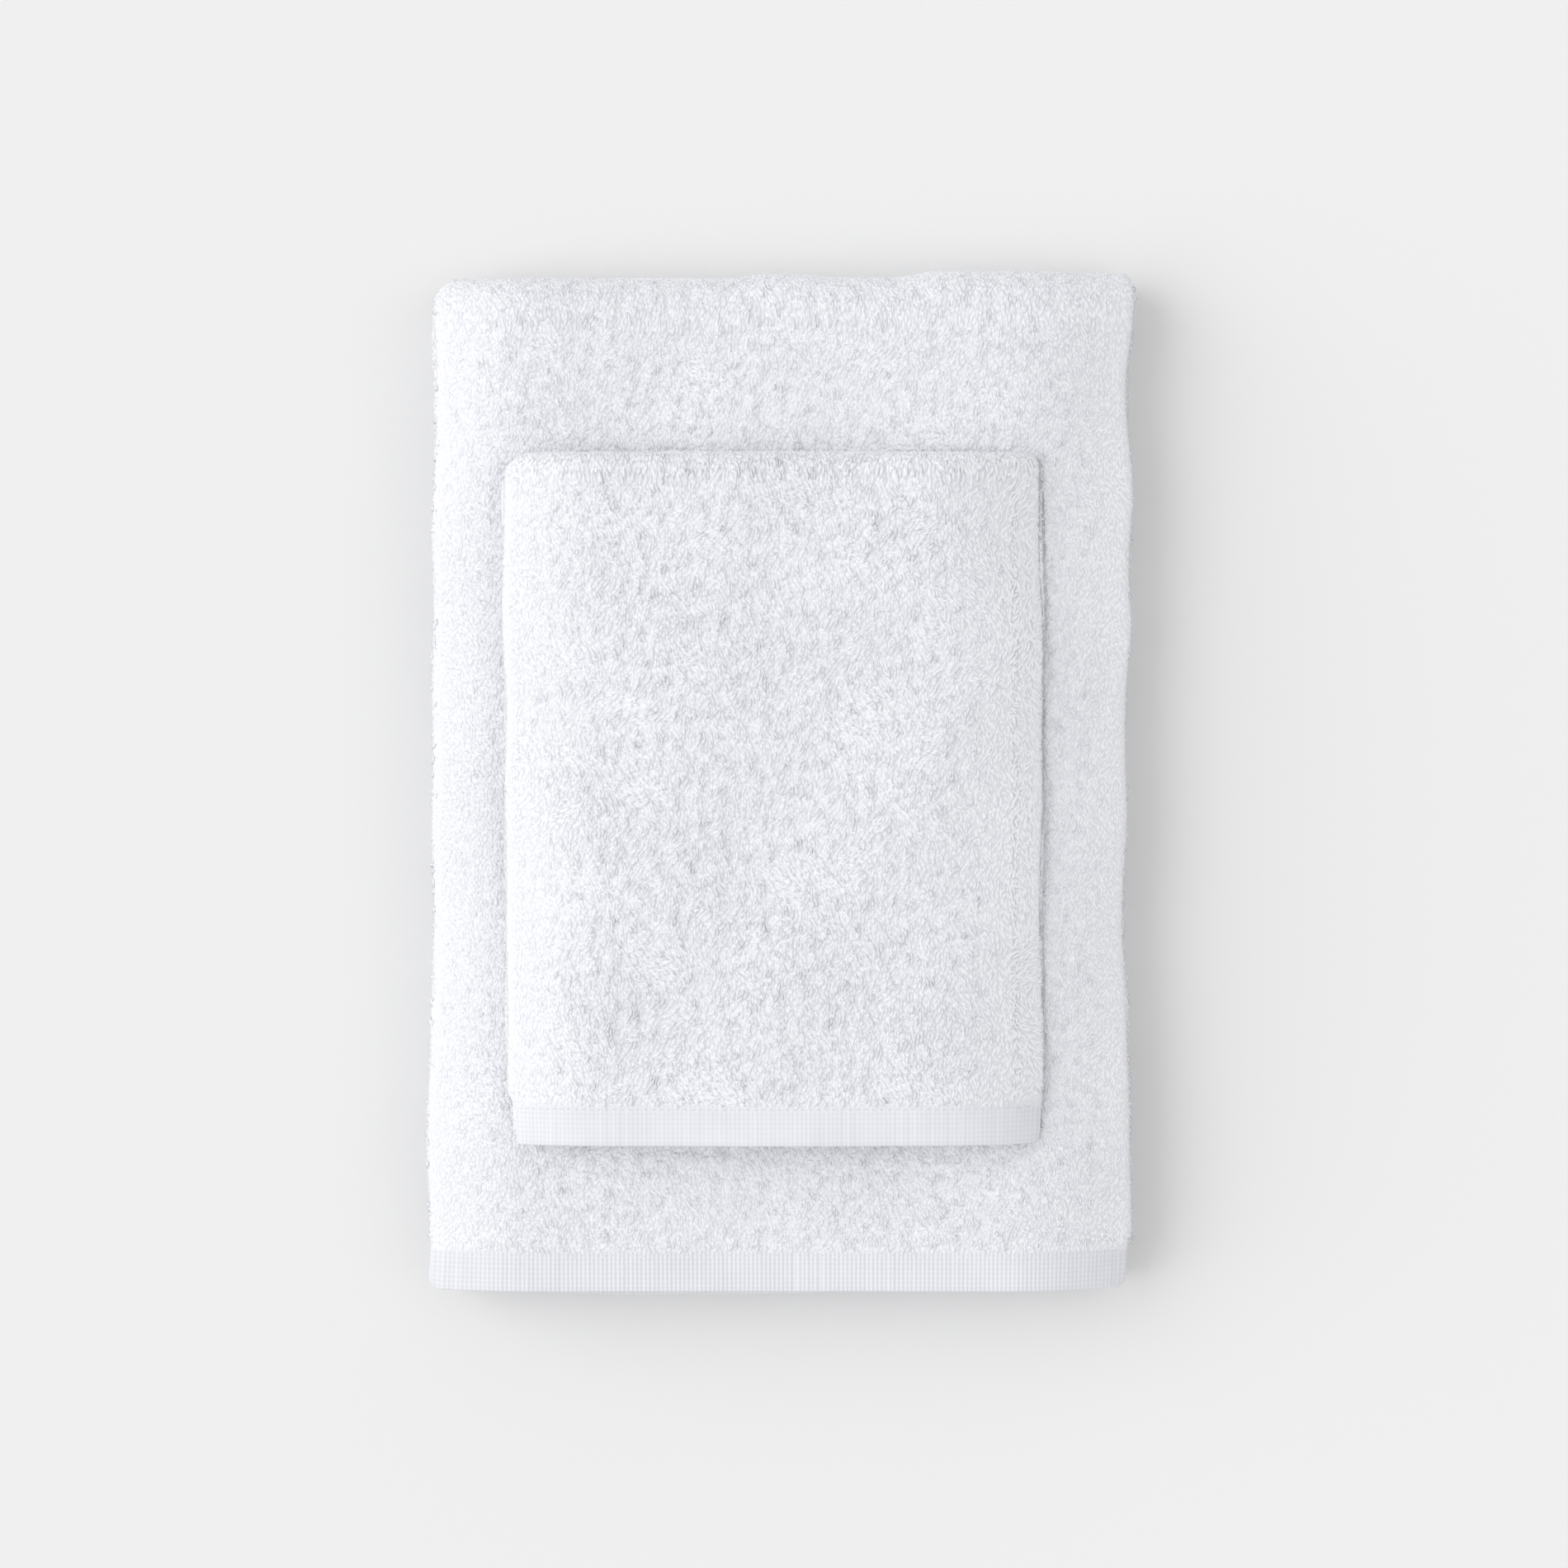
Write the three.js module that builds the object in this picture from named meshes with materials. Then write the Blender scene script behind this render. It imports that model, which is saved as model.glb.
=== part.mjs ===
// A two-piece towel set, folded for the shelf. The bath towel is folded in thirds across its width and then
// in half twice along its length. The hand towel has both sides folded to the middle, its length folded in
// thirds, and it lies on the bath towel. Each towel is one terry cloth: its panels between the folds, its
// folds, its end hems, its side hems and the hem stitching are separate solids here, so that they can move.
// Millimetres, +X right, +Y to the rear folds, +Z up. The origin is the middle of the underside.

import * as THREE from 'three';

// Driving dimensions
const GAP = 0.3; // air between two plies or two pieces that touch
const BATH = {
  width: 254,
  length: 368,
  ply: 3.2, // one ply of terry, loops on both faces pressed down
  hemSetBack: 0.4, // how far the top hem ends behind the one under it
  frontFoldSetBack: 1,
};
const HAND = {
  width: 194,
  length: 248,
  ply: 3.4,
  offsetX: -3,
  offsetY: -5,
  frontFoldSetBack: 1,
};
const HEM_DEPTH = 15; // flat-woven end, turned under and sewn
const HEM_PLY = 2.3; // one ply of the turned hem
const SIDE_HEM_WIDTH = 8;
const SIDE_HEM_SLACK = 0.4; // the side hems are this much thinner than the terry
const STITCH_WIDTH = 0.8;
const STITCH_HEIGHT = 0.5;
const STITCH_FROM_EDGE = 1.6; // from the hem's seam with the terry to the stitch row
const ARC_STEPS = 8;

// Worked out from them
const stripHeight = (ply, plies) => plies * ply + (plies - 1) * GAP;
const BATH_STRIP = stripHeight(BATH.ply, 3);
const HAND_STRIP = stripHeight(HAND.ply, 2);
const BATH_HEIGHT = 4 * BATH_STRIP + 3 * GAP;
const HAND_HEIGHT = 3 * HAND_STRIP + 2 * GAP;
const HAND_BASE = BATH_HEIGHT + GAP;

const TERRY = { color: 0xf1f2f6, roughness: 0.95, metalness: 0 };
const HEM_WEAVE = { color: 0xeff0f5, roughness: 0.85, metalness: 0 };
const THREAD = { color: 0xf6f6f8, roughness: 0.7, metalness: 0 };

const towelSet = new THREE.Group();

// Adds one named solid, with its own material, to a group.
function addPiece(group, name, geometry, finish) {
  const mesh = new THREE.Mesh(geometry, new THREE.MeshStandardMaterial(finish));
  mesh.name = name;
  group.add(mesh);
  return mesh;
}

// A section drawn in X and Z, carried along Y from front to rear.
function runAlongY(section, front, rear) {
  const solid = new THREE.ExtrudeGeometry(section, {
    depth: rear - front,
    bevelEnabled: false,
    curveSegments: ARC_STEPS,
  });
  solid.rotateX(Math.PI / 2);
  solid.translate(0, rear, 0);
  return solid;
}

// A section drawn in Y and Z, carried along X across the given width.
function runAlongX(section, width) {
  const solid = new THREE.ExtrudeGeometry(section, {
    depth: width,
    bevelEnabled: false,
    curveSegments: ARC_STEPS,
  });
  solid.translate(0, 0, -width / 2);
  const turn = new THREE.Matrix4().makeBasis(
    new THREE.Vector3(0, 1, 0),
    new THREE.Vector3(0, 0, 1),
    new THREE.Vector3(1, 0, 0),
  );
  return solid.applyMatrix4(turn);
}

// Cloth folded in thirds: the top ply turns under at the right into the middle ply, and at the left into the
// bottom ply. freeMiddle and freeBottom are where those two plies' free edges end.
function thirdsSection(width, ply, freeMiddle, freeBottom) {
  const half = width / 2;
  const high = stripHeight(ply, 3);
  const left = -half + high / 2;
  const rightRadius = ply + GAP / 2;
  const right = half - rightRadius;
  const rightCentre = high - rightRadius;
  const section = new THREE.Shape();
  section.moveTo(left, 0);
  section.lineTo(freeBottom, 0);
  section.lineTo(freeBottom, ply);
  section.lineTo(left, ply);
  section.absarc(left, high / 2, high / 2 - ply, -Math.PI / 2, Math.PI / 2, true);
  section.lineTo(right, high - ply);
  section.absarc(right, rightCentre, GAP / 2, Math.PI / 2, -Math.PI / 2, true);
  section.lineTo(freeMiddle, 2 * ply + GAP);
  section.lineTo(freeMiddle, ply + GAP);
  section.lineTo(right, ply + GAP);
  section.absarc(right, rightCentre, rightRadius, -Math.PI / 2, Math.PI / 2, false);
  section.lineTo(left, high);
  section.absarc(left, high / 2, high / 2, Math.PI / 2, 1.5 * Math.PI, false);
  return section;
}

// Cloth with both sides folded under to the middle, leaving a slot of 2 * freeHalf between the free edges.
function gateSection(width, ply, freeHalf) {
  const high = stripHeight(ply, 2);
  const turn = width / 2 - high / 2;
  const section = new THREE.Shape();
  section.moveTo(-turn, 0);
  section.lineTo(-freeHalf, 0);
  section.lineTo(-freeHalf, ply);
  section.lineTo(-turn, ply);
  section.absarc(-turn, high / 2, GAP / 2, -Math.PI / 2, Math.PI / 2, true);
  section.lineTo(turn, high - ply);
  section.absarc(turn, high / 2, GAP / 2, Math.PI / 2, -Math.PI / 2, true);
  section.lineTo(freeHalf, ply);
  section.lineTo(freeHalf, 0);
  section.lineTo(turn, 0);
  section.absarc(turn, high / 2, high / 2, -Math.PI / 2, Math.PI / 2, false);
  section.lineTo(-turn, high);
  section.absarc(-turn, high / 2, high / 2, Math.PI / 2, 1.5 * Math.PI, false);
  return section;
}

// The half ring that a strip makes where it turns back on itself. side is 1 at the rear and -1 at the front.
function foldSection(outer, inner, side) {
  const section = new THREE.Shape();
  const low = -Math.PI / 2;
  const high = Math.PI / 2;
  if (side > 0) {
    section.moveTo(0, -outer);
    section.absarc(0, 0, outer, low, high, false);
    section.lineTo(0, inner);
    section.absarc(0, 0, inner, high, low, true);
  } else {
    section.moveTo(0, outer);
    section.absarc(0, 0, outer, high, high + Math.PI, false);
    section.lineTo(0, -inner);
    section.absarc(0, 0, inner, high + Math.PI, high, true);
  }
  return section;
}

// A box with its lowest corner at (x, y, z).
function slab(x, y, z, wide, long, high) {
  const box = new THREE.BoxGeometry(wide, long, high);
  box.translate(x + wide / 2, y + long / 2, z + high / 2);
  return box;
}

// The row of stitches that holds a turned hem, lying on the hem's upper face beside the terry.
function addStitching(group, name, width, hemRear, hemTop) {
  const row = slab(
    -width / 2,
    hemRear - STITCH_FROM_EDGE,
    hemTop + GAP,
    width,
    STITCH_WIDTH,
    STITCH_HEIGHT,
  );
  addPiece(group, name, row, THREAD);
}

// --- Bath towel: four panels of cloth folded in thirds, counted from the top ---
const BATH_FRONT = -BATH.length / 2;
const BATH_REAR_TURN = BATH.length / 2 - BATH_HEIGHT / 2;
const BATH_FOLD = BATH_STRIP + GAP / 2;
const BATH_FRONT_TURN = BATH_FRONT + BATH.frontFoldSetBack + BATH_FOLD;
const bathLevel = (fromTop) => (3 - fromTop) * (BATH_STRIP + GAP);

// One panel with the two side hems on its free edges. The face ply is on top, or underneath in a panel that
// the folds have turned over.
function addBathPanel(name, level, front, rear, turnedOver) {
  const high = BATH_STRIP;
  const innerHemLeft = -BATH.width / 2 + high / 2;
  const freeMiddle = innerHemLeft + SIDE_HEM_WIDTH + GAP;
  const freeBottom = BATH.width / 2 - SIDE_HEM_WIDTH - high / 2;
  const section = thirdsSection(BATH.width, BATH.ply, freeMiddle, freeBottom);
  const panel = new THREE.Group();
  panel.position.set(0, (front + rear) / 2, level + high / 2);
  panel.rotation.x = turnedOver ? Math.PI : 0;
  const laid = new THREE.Group();
  laid.position.z = -high / 2;
  panel.add(laid);
  const thick = BATH.ply - SIDE_HEM_SLACK;
  const long = rear - front;
  addPiece(laid, `bath_${name}_panel`, runAlongY(section, -long / 2, long / 2), TERRY);
  const innerHeight = BATH.ply + 1.5 * GAP;
  const inner = slab(innerHemLeft, -long / 2, innerHeight, SIDE_HEM_WIDTH, long, thick);
  addPiece(laid, `bath_${name}_inner_side_hem`, inner, HEM_WEAVE);
  const outer = slab(freeBottom + GAP, -long / 2, 0, SIDE_HEM_WIDTH, long, thick);
  addPiece(laid, `bath_${name}_outer_side_hem`, outer, HEM_WEAVE);
  towelSet.add(panel);
}

// The end hem is folded in thirds with the cloth, and is thinner than it, so it sits in the middle of its height.
function addBathHem(name, level, front, turnedOver) {
  const section = thirdsSection(
    BATH.width - 2,
    HEM_PLY,
    -BATH.width / 2 + SIDE_HEM_WIDTH,
    BATH.width / 2 - SIDE_HEM_WIDTH,
  );
  const high = stripHeight(HEM_PLY, 3);
  const solid = runAlongY(section, -HEM_DEPTH / 2, HEM_DEPTH / 2);
  solid.translate(0, 0, -high / 2);
  solid.rotateX(turnedOver ? Math.PI : 0);
  solid.translate(0, front + HEM_DEPTH / 2, high / 2);
  const hem = new THREE.Group();
  hem.position.z = level + (BATH_STRIP - high) / 2;
  addPiece(hem, `bath_${name}_hem`, solid, HEM_WEAVE);
  const stitchWidth = BATH.width - BATH_STRIP;
  addStitching(hem, `bath_${name}_hem_stitching`, stitchWidth, front + HEM_DEPTH, high);
  towelSet.add(hem);
}

function addBathTowel() {
  const rear = BATH_REAR_TURN - GAP;
  const topFront = BATH_FRONT + BATH.hemSetBack;
  addBathPanel('top', bathLevel(0), topFront + HEM_DEPTH + GAP, rear, false);
  addBathPanel('second', bathLevel(1), BATH_FRONT + HEM_DEPTH + GAP, rear, true);
  addBathPanel('third', bathLevel(2), BATH_FRONT_TURN + GAP, rear, false);
  addBathPanel('bottom', bathLevel(3), BATH_FRONT_TURN + GAP, rear, true);
  addBathHem('top', bathLevel(0), topFront, false);
  addBathHem('second', bathLevel(1), BATH_FRONT, true);

  // The top panel turns round into the bottom one, outside the turn from the second panel into the third.
  const outerRadius = BATH_HEIGHT / 2;
  const outer = foldSection(outerRadius, outerRadius - BATH_STRIP, 1);
  const outerFold = addPiece(
    towelSet,
    'bath_outer_rear_fold',
    runAlongX(outer, BATH.width),
    TERRY,
  );
  outerFold.position.set(0, BATH_REAR_TURN, outerRadius);
  const inner = foldSection(BATH_FOLD, GAP / 2, 1);
  const innerFold = addPiece(
    towelSet,
    'bath_inner_rear_fold',
    runAlongX(inner, BATH.width),
    TERRY,
  );
  innerFold.position.set(0, BATH_REAR_TURN, outerRadius);

  // The third panel turns into the bottom one at the front.
  const front = foldSection(BATH_FOLD, GAP / 2, -1);
  const frontFold = addPiece(
    towelSet,
    'bath_front_fold',
    runAlongX(front, BATH.width),
    TERRY,
  );
  frontFold.position.set(0, BATH_FRONT_TURN, BATH_FOLD);
}

// --- Hand towel: three panels of cloth with both sides folded under, counted from the top ---
const HAND_FRONT = -HAND.length / 2;
const HAND_REAR_TURN = HAND.length / 2 - HAND_HEIGHT / 2;
const HAND_FOLD = HAND_STRIP + GAP / 2;
const HAND_FRONT_TURN = HAND_FRONT + HAND.frontFoldSetBack + HAND_FOLD;
const handLevel = (fromTop) => (2 - fromTop) * (HAND_STRIP + GAP);

const handTowel = new THREE.Group();
handTowel.position.set(HAND.offsetX, HAND.offsetY, HAND_BASE);
towelSet.add(handTowel);

// One panel with a side hem on each of its two free edges, which meet at the middle of its back.
function addHandPanel(name, level, front, rear, turnedOver) {
  const freeHalf = SIDE_HEM_WIDTH + 2 * GAP;
  const section = gateSection(HAND.width, HAND.ply, freeHalf);
  const panel = new THREE.Group();
  panel.position.set(0, (front + rear) / 2, level + HAND_STRIP / 2);
  panel.rotation.x = turnedOver ? Math.PI : 0;
  const laid = new THREE.Group();
  laid.position.z = -HAND_STRIP / 2;
  panel.add(laid);
  const thick = HAND.ply - SIDE_HEM_SLACK;
  const long = rear - front;
  addPiece(laid, `hand_${name}_panel`, runAlongY(section, -long / 2, long / 2), TERRY);
  const left = slab(-SIDE_HEM_WIDTH - GAP, -long / 2, 0, SIDE_HEM_WIDTH, long, thick);
  addPiece(laid, `hand_${name}_left_side_hem`, left, HEM_WEAVE);
  const right = slab(GAP, -long / 2, 0, SIDE_HEM_WIDTH, long, thick);
  addPiece(laid, `hand_${name}_right_side_hem`, right, HEM_WEAVE);
  handTowel.add(panel);
}

function addHandHem(name, level, front) {
  const section = gateSection(HAND.width - 2, HEM_PLY, GAP);
  const high = stripHeight(HEM_PLY, 2);
  const rear = front + HEM_DEPTH;
  const hem = new THREE.Group();
  hem.position.z = level + (HAND_STRIP - high) / 2;
  addPiece(hem, `hand_${name}_hem`, runAlongY(section, front, rear), HEM_WEAVE);
  const seam = name === 'tucked' ? front + 2 * STITCH_FROM_EDGE : rear;
  addStitching(hem, `hand_${name}_hem_stitching`, HAND.width - HAND_STRIP, seam, high);
  handTowel.add(hem);
}

function addHandTowel() {
  const rear = HAND_REAR_TURN - GAP;
  const tuckedFront = rear - HEM_DEPTH;
  addHandPanel('top', handLevel(0), HAND_FRONT + HEM_DEPTH + GAP, rear, false);
  addHandPanel('middle', handLevel(1), HAND_FRONT_TURN + GAP, tuckedFront - GAP, false);
  addHandPanel('bottom', handLevel(2), HAND_FRONT_TURN + GAP, rear, true);
  addHandHem('top', handLevel(0), HAND_FRONT);
  addHandHem('tucked', handLevel(1), tuckedFront);

  // The top panel turns round into the bottom one, over the end hem tucked in between them.
  const outerRadius = HAND_HEIGHT / 2;
  const rearRing = foldSection(outerRadius, outerRadius - HAND_STRIP, 1);
  const rearFold = addPiece(
    handTowel,
    'hand_rear_fold',
    runAlongX(rearRing, HAND.width),
    TERRY,
  );
  rearFold.position.set(0, HAND_REAR_TURN, outerRadius);

  // The middle panel turns into the bottom one at the front.
  const frontRing = foldSection(HAND_FOLD, GAP / 2, -1);
  const frontFold = addPiece(
    handTowel,
    'hand_front_fold',
    runAlongX(frontRing, HAND.width),
    TERRY,
  );
  frontFold.position.set(0, HAND_FRONT_TURN, HAND_FOLD);
}

addBathTowel();
addHandTowel();

export default towelSet;
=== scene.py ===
import math

import bpy
import numpy as np
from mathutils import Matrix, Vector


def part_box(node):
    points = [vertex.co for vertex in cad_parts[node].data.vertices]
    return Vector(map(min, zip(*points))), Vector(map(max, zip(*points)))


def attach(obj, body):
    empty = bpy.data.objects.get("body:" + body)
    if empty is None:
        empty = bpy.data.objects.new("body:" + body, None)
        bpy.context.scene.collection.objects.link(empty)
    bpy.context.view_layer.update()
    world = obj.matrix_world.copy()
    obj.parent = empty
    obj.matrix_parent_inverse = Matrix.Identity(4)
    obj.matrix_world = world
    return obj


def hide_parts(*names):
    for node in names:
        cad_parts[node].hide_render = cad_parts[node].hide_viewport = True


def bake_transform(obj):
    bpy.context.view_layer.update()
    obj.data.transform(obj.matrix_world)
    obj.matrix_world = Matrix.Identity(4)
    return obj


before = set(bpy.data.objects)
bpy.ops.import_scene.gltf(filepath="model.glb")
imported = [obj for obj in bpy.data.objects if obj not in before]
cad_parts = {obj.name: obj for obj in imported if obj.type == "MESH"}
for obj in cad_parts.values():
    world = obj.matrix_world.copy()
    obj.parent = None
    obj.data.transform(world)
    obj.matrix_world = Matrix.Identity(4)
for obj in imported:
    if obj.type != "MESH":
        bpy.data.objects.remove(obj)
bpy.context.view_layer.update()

# ---------------------------------------------------------------- Studio
# A plain pale floor under an even white sky. One broad lamp stands about 36 degrees high on the left, a
# little to the rear, and brings out the loops, and a softer card high on the right fills the shadows.
SKY_LIGHT = 0.68
LAMPS = {
    # name: strength, width in degrees, the way towards it
    "left_lamp": (1.54, 62, (-0.80, 0.10, 0.59)),
    "right_card": (0.37, 50, (0.5, 0.0, 0.87)),
}
FLOOR_SIDE = 6.0
FLOOR_GREY = 0.812
FLOOR_MOTTLE = 0.01  # how much darker its patches may be
SENSOR = 36.0  # the sensor's width and the lens in front of it, in millimetres
CAMERA_LENS = 100.0
CAMERA_WIDTH_SEEN = 0.5652  # across the frame, at the height of the bath towel's top

scene = bpy.context.scene
scene.view_settings.view_transform = "Standard"


class Socket:
    """A shader value that Python's signs work on. Each sign adds one Math node."""

    def __init__(self, finish, output):
        self.finish = finish
        self.output = output

    def sign(self, operation, first, second):
        return self.finish.node("ShaderNodeMath", {"operation": operation}, {0: first, 1: second})

    def __add__(self, other):
        return self.sign("ADD", self, other)

    def __radd__(self, other):
        return self.sign("ADD", other, self)

    def __sub__(self, other):
        return self.sign("SUBTRACT", self, other)

    def __rsub__(self, other):
        return self.sign("SUBTRACT", other, self)

    def __mul__(self, other):
        return self.sign("MULTIPLY", self, other)

    def __rmul__(self, other):
        return self.sign("MULTIPLY", other, self)

    def least(self, other):
        return self.sign("MINIMUM", self, other)


class Finish:
    """A material as it is written. node() adds one node: its settings first, then its sockets' values or
    links."""

    def __init__(self, name):
        self.material = bpy.data.materials.new(name)
        self.material.use_nodes = True
        self.tree = self.material.node_tree
        self.shader = self.tree.nodes["Principled BSDF"]

    def node(self, kind, settings=None, sockets=None, output=0):
        made = self.tree.nodes.new(kind)
        for key, value in (settings or {}).items():
            setattr(made, key, value)
        for key, value in (sockets or {}).items():
            self.give(made.inputs[key], value)
        return Socket(self, made.outputs[output])

    def give(self, socket, value):
        if isinstance(value, Socket):
            self.tree.links.new(value.output, socket)
        else:
            socket.default_value = value

    def set(self, **values):
        for key, value in values.items():
            self.give(self.shader.inputs[key.replace("_", " ")], value)

    def place(self):
        """Where a point is in its object, in metres."""
        return self.node("ShaderNodeTexCoord", output="Object")

    def noise(self, scale, detail=2.0, where=None):
        sockets = {"Vector": where or self.place(), "Scale": scale, "Detail": detail}
        return self.node("ShaderNodeTexNoise", None, sockets)

    def blend_colours(self, share, first, second):
        sockets = {0: share, 6: (*first, 1), 7: (*second, 1)}
        return self.node("ShaderNodeMix", {"data_type": "RGBA"}, sockets, 2)

    def bump(self, height, depth, strength):
        sockets = {"Height": height, "Distance": depth, "Strength": strength}
        return self.node("ShaderNodeBump", None, sockets)


def floor_finish():
    """Matt paper, one even grey with the faintest mottling: a tenth of FLOOR_MOTTLE."""
    finish = Finish("pale_floor")
    grain = finish.noise(3.0)
    light, dark = (FLOOR_GREY,) * 3, (FLOOR_GREY - FLOOR_MOTTLE,) * 3
    finish.set(Base_Color=finish.blend_colours(grain * 0.1, light, dark))
    finish.set(Roughness=0.9, Specular_IOR_Level=0.2)
    return finish.material


def make_studio():
    half = FLOOR_SIDE / 2
    mesh = bpy.data.meshes.new("floor")
    mesh.from_pydata(
        [(-half, -half, 0), (half, -half, 0), (half, half, 0), (-half, half, 0)], [], [(0, 1, 2, 3)]
    )
    mesh.materials.append(floor_finish())
    floor = bpy.data.objects.new("floor", mesh)
    scene.collection.objects.link(floor)

    sky = bpy.data.worlds.new("even_sky")
    sky.use_nodes = True
    sky.node_tree.nodes["Background"].inputs["Color"].default_value = (1, 1, 1, 1)
    sky.node_tree.nodes["Background"].inputs["Strength"].default_value = SKY_LIGHT
    scene.world = sky

    for name, (strength, spread, way) in LAMPS.items():
        lamp = bpy.data.lights.new(name, "SUN")
        lamp.energy = strength
        lamp.angle = math.radians(spread)
        holder = bpy.data.objects.new(name, lamp)
        towards = Vector(way)
        holder.rotation_euler = towards.to_track_quat("Z", "Y").to_euler()
        holder.location = towards * 2
        scene.collection.objects.link(holder)

    camera = bpy.data.cameras.new("camera")
    camera.lens = CAMERA_LENS
    camera.sensor_width = SENSOR
    eye = bpy.data.objects.new("camera", camera)
    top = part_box("bath_top_panel")[1][2]
    eye.location = (0, 0, top + CAMERA_WIDTH_SEEN * CAMERA_LENS / SENSOR)
    scene.collection.objects.link(eye)
    scene.camera = eye


make_studio()

# ---------------------------------------------------------------- Bath towel's cloth
# One terry cloth, woven with loops on both faces and folded in thirds across its width, then in half twice
# along its length. Everything on it is worked out on the flat cloth, from u across the width, v along the
# length and a height off the weave, and is then folded up with it.
GAP = 0.0003  # air between two plies
WEAVE_HALF = 0.0009  # from the middle of a ply to the roots of its loops
LIP = 0.0011  # how far in from its edges a cloth is rounded off
LIP_LEAST = 0.02  # share of the squared thickness that is left at the very edge
FLAT_STEP = 0.008
SHOULDER_STEP = 0.005  # finer across the width, where the sides curve down
CLOTH_SHARP = 60  # the shading breaks at the cut edges of the ground, in degrees
TURN_STEP = 0.0026
TURN_LEAST = 7
LINE_STEPS = 24000  # that a bent line is summed over
RIPPLE_HIGH = 1.5  # how many times its mean swing a sum of waves mostly keeps within
SIDE_HEM = 0.0083  # taken up at each long edge by the side hem


def bent_line(start, heading, runs):
    """A line of straight runs and round turns, as a function of the distance along it. The heading changes
    evenly over each run's length by its turn, and the point is the running sum of the heading's cosine and
    sine. at(s) gives the two coordinates and the heading."""
    joints = np.concatenate([[0], np.cumsum([length for length, _ in runs])])
    headings = heading + np.concatenate([[0], np.cumsum([turn for _, turn in runs])])
    fine = np.linspace(0, joints[-1], LINE_STEPS + 1)
    middle = np.interp((fine[1:] + fine[:-1]) / 2, joints, headings)
    first = start[0] + np.concatenate([[0], np.cumsum(np.cos(middle) * fine[1])])
    second = start[1] + np.concatenate([[0], np.cumsum(np.sin(middle) * fine[1])])

    def at(s):
        return np.interp(s, fine, first), np.interp(s, fine, second), np.interp(s, joints, headings)

    return at, joints


def ripples(seed, shortest, longest, count=16):
    """A smooth random function of two distances that swings by about one: the mean of count sine waves of
    random direction, length and phase, times the root of twice their number over RIPPLE_HIGH."""
    random = np.random.default_rng(seed)
    waves = 2 * math.pi / random.uniform(shortest, longest, count)
    turned = random.uniform(0, 2 * math.pi, count)
    phase = random.uniform(0, 2 * math.pi, count)

    def height(a, b):
        a, b = np.broadcast_arrays(a, b)
        across = a[..., None] * (waves * np.cos(turned)) + b[..., None] * (waves * np.sin(turned))
        return np.sin(across + phase).mean(-1) * math.sqrt(2 * count) / RIPPLE_HIGH

    return height


def ramp(value, start, end):
    """0 before start, 1 after end, and three t squared less two t cubed between them."""
    t = np.clip((value - start) / (end - start), 0, 1)
    return t * t * (3 - 2 * t)


class Towel:
    """A flat cloth and the way it is folded. section folds u across the width, course folds v along the
    length, side says to which hand of the section the outer face lies, and settle lays the result down."""

    def __init__(self, section, course, side, settle):
        self.section, self.u_joints = section
        self.course, self.v_joints = course
        self.side = side
        self.settle = settle

    def fold(self, u, v, off):
        """The folded point: off is added square to the section, and the height this gives is added square
        to the course."""
        x, height, turned = self.section(u)
        x = x - self.side * np.sin(turned) * off
        height = height + self.side * np.cos(turned) * off
        y, z, heading = self.course(v)
        y = y - np.sin(heading) * height
        z = z + np.cos(heading) * height
        return np.stack(self.settle(x, y, z, v), axis=-1)

    def facing(self, faces):
        """Faces wound for a right-handed (u, v, off), turned round where folding makes it left-handed."""
        return faces if self.side > 0 else faces[:, ::-1]


def make_piece(name, points, faces, finish, flat=None):
    """A smooth-shaded object straight from arrays. flat is each point's place on the flat cloth, in metres,
    kept as the UV map "cloth"."""
    mesh = bpy.data.meshes.new(name)
    corners = np.concatenate([f.ravel() for f in faces]).astype(np.int32)
    sizes = np.concatenate([np.full(len(f), f.shape[1]) for f in faces]).astype(np.int32)
    mesh.vertices.add(len(points))
    mesh.vertices.foreach_set("co", points.astype(np.float32).ravel())
    mesh.loops.add(len(corners))
    mesh.loops.foreach_set("vertex_index", corners)
    mesh.polygons.add(len(sizes))
    mesh.polygons.foreach_set("loop_start", np.concatenate([[0], np.cumsum(sizes)[:-1]]).astype(np.int32))
    mesh.polygons.foreach_set("use_smooth", np.ones(len(sizes), bool))
    mesh.update(calc_edges=True)
    if flat is not None:
        layer = mesh.uv_layers.new(name="cloth")
        layer.data.foreach_set("uv", flat[corners].astype(np.float32).ravel())
    mesh.materials.append(finish)
    piece = bpy.data.objects.new(name, mesh)
    scene.collection.objects.link(piece)
    return piece


def slab(name, towel, us, vs, low, high, finish):
    """A closed strip of folded cloth: a grid over us and vs at two heights off the weave, joined round the
    edge by walls. low and high are functions of u and v."""
    u, v = np.meshgrid(us, vs, indexing="ij")
    layers = [towel.fold(u, v, height(u, v)).reshape(-1, 3) for height in (low, high)]
    flat = np.stack([u.ravel(), v.ravel()], axis=1)
    bottom = np.arange(u.size).reshape(u.shape)
    top = bottom + u.size

    def between(a, b, c, d):
        return np.stack([a.ravel(), b.ravel(), c.ravel(), d.ravel()], axis=1)

    faces = np.concatenate(
        [
            between(top[:-1, :-1], top[1:, :-1], top[1:, 1:], top[:-1, 1:]),
            between(bottom[:-1, :-1], bottom[:-1, 1:], bottom[1:, 1:], bottom[1:, :-1]),
            between(bottom[0, :-1], top[0, :-1], top[0, 1:], bottom[0, 1:]),
            between(bottom[-1, :-1], bottom[-1, 1:], top[-1, 1:], top[-1, :-1]),
            between(bottom[:-1, 0], bottom[1:, 0], top[1:, 0], top[:-1, 0]),
            between(bottom[:-1, -1], top[:-1, -1], top[1:, -1], bottom[1:, -1]),
        ]
    )
    points = np.concatenate(layers)
    return make_piece(name, points, [towel.facing(faces)], finish, np.concatenate([flat, flat]))


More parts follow.
